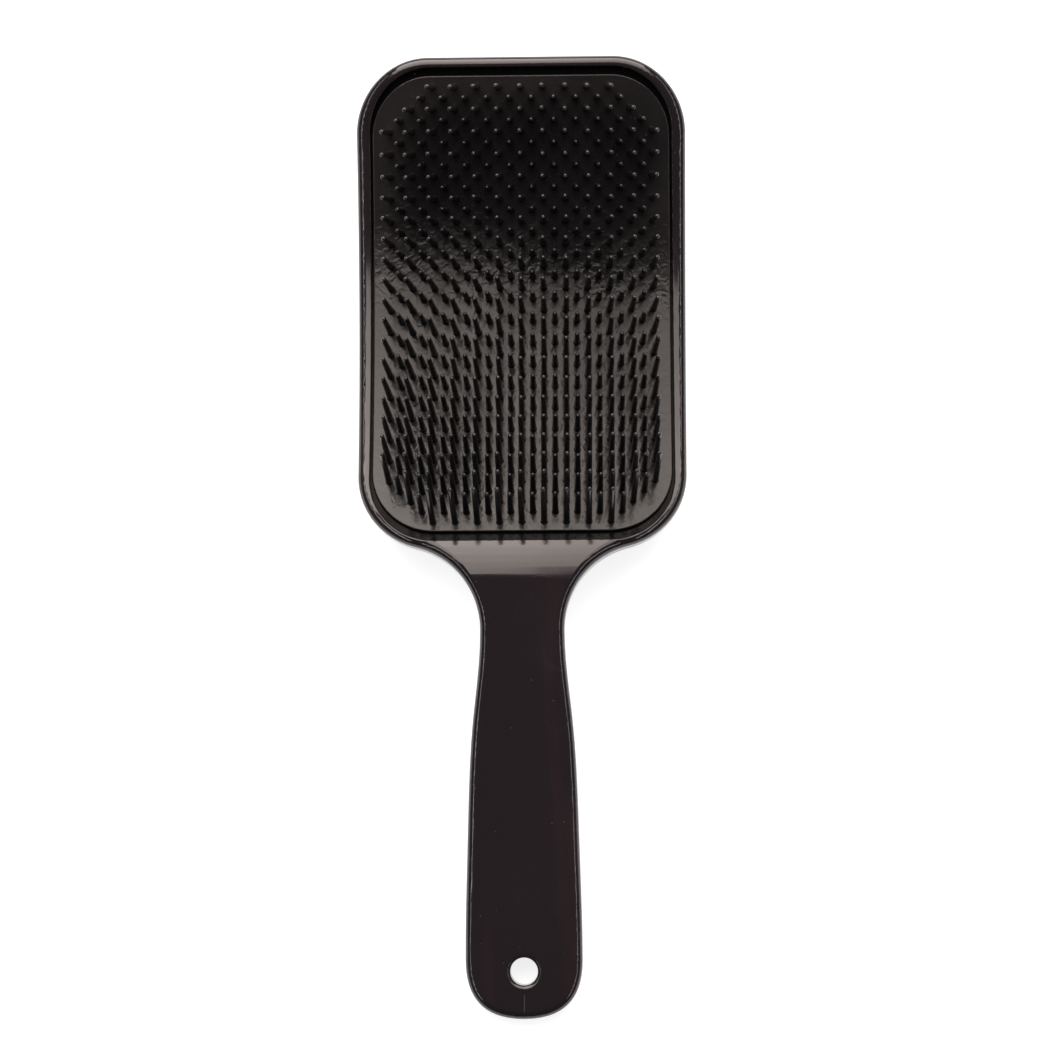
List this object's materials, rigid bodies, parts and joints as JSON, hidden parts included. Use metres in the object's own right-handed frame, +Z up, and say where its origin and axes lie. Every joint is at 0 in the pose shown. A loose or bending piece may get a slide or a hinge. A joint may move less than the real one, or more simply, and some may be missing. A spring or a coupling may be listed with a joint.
{
  "type": "paddle brush",
  "caption": "Paddle hairbrush with a bowed rectangular head, a rubber pad of round tapered teeth in two lengths, a narrow neck and a waisted handle with a hanging hole",
  "frame": {"origin": "on the table under the middle of the brush, which lies on its back", "axes": "X across the brush, +Y from the handle to the tip of the head, +Z up, the way the teeth point"},
  "size_m": [0.0838, 0.2416, 0.0366],
  "materials": {
    "body_plastic": "moulded gloss black",
    "pad_rubber": "glossy moulded black with a fine orange peel",
    "tooth_rubber": "smooth satin black"
  },
  "bodies": {
    "handle": {"handle_body": "body_plastic"},
    "pad": {"tooth_pad": "pad_rubber", "pad_skirt": "pad_rubber"},
    "long_row_11": {"long_teeth_row_11": "tooth_rubber"},
    "long_row_01": {"long_teeth_row_01": "tooth_rubber"},
    "short_row_01": {"short_teeth_row_01": "tooth_rubber"},
    "long_row_02": {"long_teeth_row_02": "tooth_rubber"},
    "short_row_02": {"short_teeth_row_02": "tooth_rubber"},
    "long_row_03": {"long_teeth_row_03": "tooth_rubber"},
    "short_row_03": {"short_teeth_row_03": "tooth_rubber"},
    "long_row_04": {"long_teeth_row_04": "tooth_rubber"},
    "short_row_04": {"short_teeth_row_04": "tooth_rubber"},
    "long_row_05": {"long_teeth_row_05": "tooth_rubber"},
    "short_row_05": {"short_teeth_row_05": "tooth_rubber"},
    "long_row_06": {"long_teeth_row_06": "tooth_rubber"},
    "short_row_06": {"short_teeth_row_06": "tooth_rubber"},
    "long_row_07": {"long_teeth_row_07": "tooth_rubber"},
    "short_row_07": {"short_teeth_row_07": "tooth_rubber"},
    "long_row_08": {"long_teeth_row_08": "tooth_rubber"},
    "short_row_08": {"short_teeth_row_08": "tooth_rubber"},
    "long_row_09": {"long_teeth_row_09": "tooth_rubber"},
    "short_row_09": {"short_teeth_row_09": "tooth_rubber"},
    "long_row_10": {"long_teeth_row_10": "tooth_rubber"},
    "short_row_10": {"short_teeth_row_10": "tooth_rubber"},
    "short_row_11": {"short_teeth_row_11": "tooth_rubber"},
    "long_row_12": {"long_teeth_row_12": "tooth_rubber"},
    "short_row_12": {"short_teeth_row_12": "tooth_rubber"},
    "long_row_13": {"long_teeth_row_13": "tooth_rubber"},
    "short_row_13": {"short_teeth_row_13": "tooth_rubber"},
    "long_row_14": {"long_teeth_row_14": "tooth_rubber"},
    "short_row_14": {"short_teeth_row_14": "tooth_rubber"},
    "long_row_15": {"long_teeth_row_15": "tooth_rubber"},
    "short_row_15": {"short_teeth_row_15": "tooth_rubber"},
    "long_row_16": {"long_teeth_row_16": "tooth_rubber"},
    "short_row_16": {"short_teeth_row_16": "tooth_rubber"},
    "long_row_17": {"long_teeth_row_17": "tooth_rubber"},
    "short_row_17": {"short_teeth_row_17": "tooth_rubber"},
    "long_row_18": {"long_teeth_row_18": "tooth_rubber"},
    "short_row_18": {"short_teeth_row_18": "tooth_rubber"},
    "long_row_19": {"long_teeth_row_19": "tooth_rubber"},
    "short_row_19": {"short_teeth_row_19": "tooth_rubber"},
    "long_row_20": {"long_teeth_row_20": "tooth_rubber"},
    "short_row_20": {"short_teeth_row_20": "tooth_rubber"},
    "long_row_21": {"long_teeth_row_21": "tooth_rubber"}
  },
  "joints": [
    {"name": "pad_press", "type": "slide", "parent": "handle", "child": "pad", "axis": [0, 0.0489, -0.9988], "range_m": [0, 0.0015], "stiffness_N_per_m": 8000, "deforming": ["pad_skirt"]},
    {"name": "long_row_11_flex", "type": "hinge", "parent": "pad", "child": "long_row_11", "pos_m": [0, 0.05813, 0.0086], "axis": [1, 0, 0], "range_deg": [-20, 20], "stiffness_Nm_per_rad": 0.15},
    {"name": "long_row_01_flex", "type": "hinge", "parent": "pad", "child": "long_row_01", "pos_m": [0, 0.11287, 0.02172], "axis": [1, 0, 0], "range_deg": [-20, 20], "stiffness_Nm_per_rad": 0.15},
    {"name": "short_row_01_flex", "type": "hinge", "parent": "pad", "child": "short_row_01", "pos_m": [0, 0.11029, 0.02054], "axis": [1, 0, 0], "range_deg": [-20, 20], "stiffness_Nm_per_rad": 0.15},
    {"name": "long_row_02_flex", "type": "hinge", "parent": "pad", "child": "long_row_02", "pos_m": [0, 0.10766, 0.0195], "axis": [1, 0, 0], "range_deg": [-20, 20], "stiffness_Nm_per_rad": 0.15},
    {"name": "short_row_02_flex", "type": "hinge", "parent": "pad", "child": "short_row_02", "pos_m": [0, 0.10504, 0.01841], "axis": [1, 0, 0], "range_deg": [-20, 20], "stiffness_Nm_per_rad": 0.15},
    {"name": "long_row_03_flex", "type": "hinge", "parent": "pad", "child": "long_row_03", "pos_m": [0, 0.10237, 0.01747], "axis": [1, 0, 0], "range_deg": [-20, 20], "stiffness_Nm_per_rad": 0.15},
    {"name": "short_row_03_flex", "type": "hinge", "parent": "pad", "child": "short_row_03", "pos_m": [0, 0.09972, 0.01649], "axis": [1, 0, 0], "range_deg": [-20, 20], "stiffness_Nm_per_rad": 0.15},
    {"name": "long_row_04_flex", "type": "hinge", "parent": "pad", "child": "long_row_04", "pos_m": [0, 0.09701, 0.01565], "axis": [1, 0, 0], "range_deg": [-20, 20], "stiffness_Nm_per_rad": 0.15},
    {"name": "short_row_04_flex", "type": "hinge", "parent": "pad", "child": "short_row_04", "pos_m": [0, 0.09432, 0.01476], "axis": [1, 0, 0], "range_deg": [-20, 20], "stiffness_Nm_per_rad": 0.15},
    {"name": "long_row_05_flex", "type": "hinge", "parent": "pad", "child": "long_row_05", "pos_m": [0, 0.09159, 0.01402], "axis": [1, 0, 0], "range_deg": [-20, 20], "stiffness_Nm_per_rad": 0.15},
    {"name": "short_row_05_flex", "type": "hinge", "parent": "pad", "child": "short_row_05", "pos_m": [0, 0.08887, 0.01324], "axis": [1, 0, 0], "range_deg": [-20, 20], "stiffness_Nm_per_rad": 0.15},
    {"name": "long_row_06_flex", "type": "hinge", "parent": "pad", "child": "long_row_06", "pos_m": [0, 0.08611, 0.0126], "axis": [1, 0, 0], "range_deg": [-20, 20], "stiffness_Nm_per_rad": 0.15},
    {"name": "short_row_06_flex", "type": "hinge", "parent": "pad", "child": "short_row_06", "pos_m": [0, 0.08336, 0.01192], "axis": [1, 0, 0], "range_deg": [-20, 20], "stiffness_Nm_per_rad": 0.15},
    {"name": "long_row_07_flex", "type": "hinge", "parent": "pad", "child": "long_row_07", "pos_m": [0, 0.08058, 0.01139], "axis": [1, 0, 0], "range_deg": [-20, 20], "stiffness_Nm_per_rad": 0.15},
    {"name": "short_row_07_flex", "type": "hinge", "parent": "pad", "child": "short_row_07", "pos_m": [0, 0.07781, 0.01081], "axis": [1, 0, 0], "range_deg": [-20, 20], "stiffness_Nm_per_rad": 0.15},
    {"name": "long_row_08_flex", "type": "hinge", "parent": "pad", "child": "long_row_08", "pos_m": [0, 0.07501, 0.01038], "axis": [1, 0, 0], "range_deg": [-20, 20], "stiffness_Nm_per_rad": 0.15},
    {"name": "short_row_08_flex", "type": "hinge", "parent": "pad", "child": "short_row_08", "pos_m": [0, 0.07222, 0.0099], "axis": [1, 0, 0], "range_deg": [-20, 20], "stiffness_Nm_per_rad": 0.15},
    {"name": "long_row_09_flex", "type": "hinge", "parent": "pad", "child": "long_row_09", "pos_m": [0, 0.0694, 0.00958], "axis": [1, 0, 0], "range_deg": [-20, 20], "stiffness_Nm_per_rad": 0.15},
    {"name": "short_row_09_flex", "type": "hinge", "parent": "pad", "child": "short_row_09", "pos_m": [0, 0.0666, 0.0092], "axis": [1, 0, 0], "range_deg": [-20, 20], "stiffness_Nm_per_rad": 0.15},
    {"name": "long_row_10_flex", "type": "hinge", "parent": "pad", "child": "long_row_10", "pos_m": [0, 0.06377, 0.00898], "axis": [1, 0, 0], "range_deg": [-20, 20], "stiffness_Nm_per_rad": 0.15},
    {"name": "short_row_10_flex", "type": "hinge", "parent": "pad", "child": "short_row_10", "pos_m": [0, 0.06095, 0.00872], "axis": [1, 0, 0], "range_deg": [-20, 20], "stiffness_Nm_per_rad": 0.15},
    {"name": "short_row_11_flex", "type": "hinge", "parent": "pad", "child": "short_row_11", "pos_m": [0, 0.0553, 0.00844], "axis": [1, 0, 0], "range_deg": [-20, 20], "stiffness_Nm_per_rad": 0.15},
    {"name": "long_row_12_flex", "type": "hinge", "parent": "pad", "child": "long_row_12", "pos_m": [0, 0.05247, 0.00843], "axis": [1, 0, 0], "range_deg": [-20, 20], "stiffness_Nm_per_rad": 0.15},
    {"name": "short_row_12_flex", "type": "hinge", "parent": "pad", "child": "short_row_12", "pos_m": [0, 0.04963, 0.00837], "axis": [1, 0, 0], "range_deg": [-20, 20], "stiffness_Nm_per_rad": 0.15},
    {"name": "long_row_13_flex", "type": "hinge", "parent": "pad", "child": "long_row_13", "pos_m": [0, 0.0468, 0.00847], "axis": [1, 0, 0], "range_deg": [-20, 20], "stiffness_Nm_per_rad": 0.15},
    {"name": "short_row_13_flex", "type": "hinge", "parent": "pad", "child": "short_row_13", "pos_m": [0, 0.04397, 0.00852], "axis": [1, 0, 0], "range_deg": [-20, 20], "stiffness_Nm_per_rad": 0.15},
    {"name": "long_row_14_flex", "type": "hinge", "parent": "pad", "child": "long_row_14", "pos_m": [0, 0.04115, 0.00872], "axis": [1, 0, 0], "range_deg": [-20, 20], "stiffness_Nm_per_rad": 0.15},
    {"name": "short_row_14_flex", "type": "hinge", "parent": "pad", "child": "short_row_14", "pos_m": [0, 0.03832, 0.00887], "axis": [1, 0, 0], "range_deg": [-20, 20], "stiffness_Nm_per_rad": 0.15},
    {"name": "long_row_15_flex", "type": "hinge", "parent": "pad", "child": "long_row_15", "pos_m": [0, 0.03551, 0.00918], "axis": [1, 0, 0], "range_deg": [-20, 20], "stiffness_Nm_per_rad": 0.15},
    {"name": "short_row_15_flex", "type": "hinge", "parent": "pad", "child": "short_row_15", "pos_m": [0, 0.03269, 0.00944], "axis": [1, 0, 0], "range_deg": [-20, 20], "stiffness_Nm_per_rad": 0.15},
    {"name": "long_row_16_flex", "type": "hinge", "parent": "pad", "child": "long_row_16", "pos_m": [0, 0.02988, 0.00985], "axis": [1, 0, 0], "range_deg": [-20, 20], "stiffness_Nm_per_rad": 0.15},
    {"name": "short_row_16_flex", "type": "hinge", "parent": "pad", "child": "short_row_16", "pos_m": [0, 0.02708, 0.01022], "axis": [1, 0, 0], "range_deg": [-20, 20], "stiffness_Nm_per_rad": 0.15},
    {"name": "long_row_17_flex", "type": "hinge", "parent": "pad", "child": "long_row_17", "pos_m": [0, 0.02429, 0.01073], "axis": [1, 0, 0], "range_deg": [-20, 20], "stiffness_Nm_per_rad": 0.15},
    {"name": "short_row_17_flex", "type": "hinge", "parent": "pad", "child": "short_row_17", "pos_m": [0, 0.0215, 0.0112], "axis": [1, 0, 0], "range_deg": [-20, 20], "stiffness_Nm_per_rad": 0.15},
    {"name": "long_row_18_flex", "type": "hinge", "parent": "pad", "child": "long_row_18", "pos_m": [0, 0.01873, 0.01182], "axis": [1, 0, 0], "range_deg": [-20, 20], "stiffness_Nm_per_rad": 0.15},
    {"name": "short_row_18_flex", "type": "hinge", "parent": "pad", "child": "short_row_18", "pos_m": [0, 0.01596, 0.01239], "axis": [1, 0, 0], "range_deg": [-20, 20], "stiffness_Nm_per_rad": 0.15},
    {"name": "long_row_19_flex", "type": "hinge", "parent": "pad", "child": "long_row_19", "pos_m": [0, 0.01322, 0.01311], "axis": [1, 0, 0], "range_deg": [-20, 20], "stiffness_Nm_per_rad": 0.15},
    {"name": "short_row_19_flex", "type": "hinge", "parent": "pad", "child": "short_row_19", "pos_m": [0, 0.01047, 0.01379], "axis": [1, 0, 0], "range_deg": [-20, 20], "stiffness_Nm_per_rad": 0.15},
    {"name": "long_row_20_flex", "type": "hinge", "parent": "pad", "child": "long_row_20", "pos_m": [0, 0.00776, 0.01461], "axis": [1, 0, 0], "range_deg": [-20, 20], "stiffness_Nm_per_rad": 0.15},
    {"name": "short_row_20_flex", "type": "hinge", "parent": "pad", "child": "short_row_20", "pos_m": [0, 0.00504, 0.01539], "axis": [1, 0, 0], "range_deg": [-20, 20], "stiffness_Nm_per_rad": 0.15},
    {"name": "long_row_21_flex", "type": "hinge", "parent": "pad", "child": "long_row_21", "pos_m": [0, 0.00236, 0.01631], "axis": [1, 0, 0], "range_deg": [-20, 20], "stiffness_Nm_per_rad": 0.15}
  ],
  "couplings": [
    {"joint": "long_row_01_flex", "follows": "long_row_11_flex", "ratio": 1},
    {"joint": "short_row_01_flex", "follows": "long_row_11_flex", "ratio": 1},
    {"joint": "long_row_02_flex", "follows": "long_row_11_flex", "ratio": 1},
    {"joint": "short_row_02_flex", "follows": "long_row_11_flex", "ratio": 1},
    {"joint": "long_row_03_flex", "follows": "long_row_11_flex", "ratio": 1},
    {"joint": "short_row_03_flex", "follows": "long_row_11_flex", "ratio": 1},
    {"joint": "long_row_04_flex", "follows": "long_row_11_flex", "ratio": 1},
    {"joint": "short_row_04_flex", "follows": "long_row_11_flex", "ratio": 1},
    {"joint": "long_row_05_flex", "follows": "long_row_11_flex", "ratio": 1},
    {"joint": "short_row_05_flex", "follows": "long_row_11_flex", "ratio": 1},
    {"joint": "long_row_06_flex", "follows": "long_row_11_flex", "ratio": 1},
    {"joint": "short_row_06_flex", "follows": "long_row_11_flex", "ratio": 1},
    {"joint": "long_row_07_flex", "follows": "long_row_11_flex", "ratio": 1},
    {"joint": "short_row_07_flex", "follows": "long_row_11_flex", "ratio": 1},
    {"joint": "long_row_08_flex", "follows": "long_row_11_flex", "ratio": 1},
    {"joint": "short_row_08_flex", "follows": "long_row_11_flex", "ratio": 1},
    {"joint": "long_row_09_flex", "follows": "long_row_11_flex", "ratio": 1},
    {"joint": "short_row_09_flex", "follows": "long_row_11_flex", "ratio": 1},
    {"joint": "long_row_10_flex", "follows": "long_row_11_flex", "ratio": 1},
    {"joint": "short_row_10_flex", "follows": "long_row_11_flex", "ratio": 1},
    {"joint": "short_row_11_flex", "follows": "long_row_11_flex", "ratio": 1},
    {"joint": "long_row_12_flex", "follows": "long_row_11_flex", "ratio": 1},
    {"joint": "short_row_12_flex", "follows": "long_row_11_flex", "ratio": 1},
    {"joint": "long_row_13_flex", "follows": "long_row_11_flex", "ratio": 1},
    {"joint": "short_row_13_flex", "follows": "long_row_11_flex", "ratio": 1},
    {"joint": "long_row_14_flex", "follows": "long_row_11_flex", "ratio": 1},
    {"joint": "short_row_14_flex", "follows": "long_row_11_flex", "ratio": 1},
    {"joint": "long_row_15_flex", "follows": "long_row_11_flex", "ratio": 1},
    {"joint": "short_row_15_flex", "follows": "long_row_11_flex", "ratio": 1},
    {"joint": "long_row_16_flex", "follows": "long_row_11_flex", "ratio": 1},
    {"joint": "short_row_16_flex", "follows": "long_row_11_flex", "ratio": 1},
    {"joint": "long_row_17_flex", "follows": "long_row_11_flex", "ratio": 1},
    {"joint": "short_row_17_flex", "follows": "long_row_11_flex", "ratio": 1},
    {"joint": "long_row_18_flex", "follows": "long_row_11_flex", "ratio": 1},
    {"joint": "short_row_18_flex", "follows": "long_row_11_flex", "ratio": 1},
    {"joint": "long_row_19_flex", "follows": "long_row_11_flex", "ratio": 1},
    {"joint": "short_row_19_flex", "follows": "long_row_11_flex", "ratio": 1},
    {"joint": "long_row_20_flex", "follows": "long_row_11_flex", "ratio": 1},
    {"joint": "short_row_20_flex", "follows": "long_row_11_flex", "ratio": 1},
    {"joint": "long_row_21_flex", "follows": "long_row_11_flex", "ratio": 1}
  ]
}
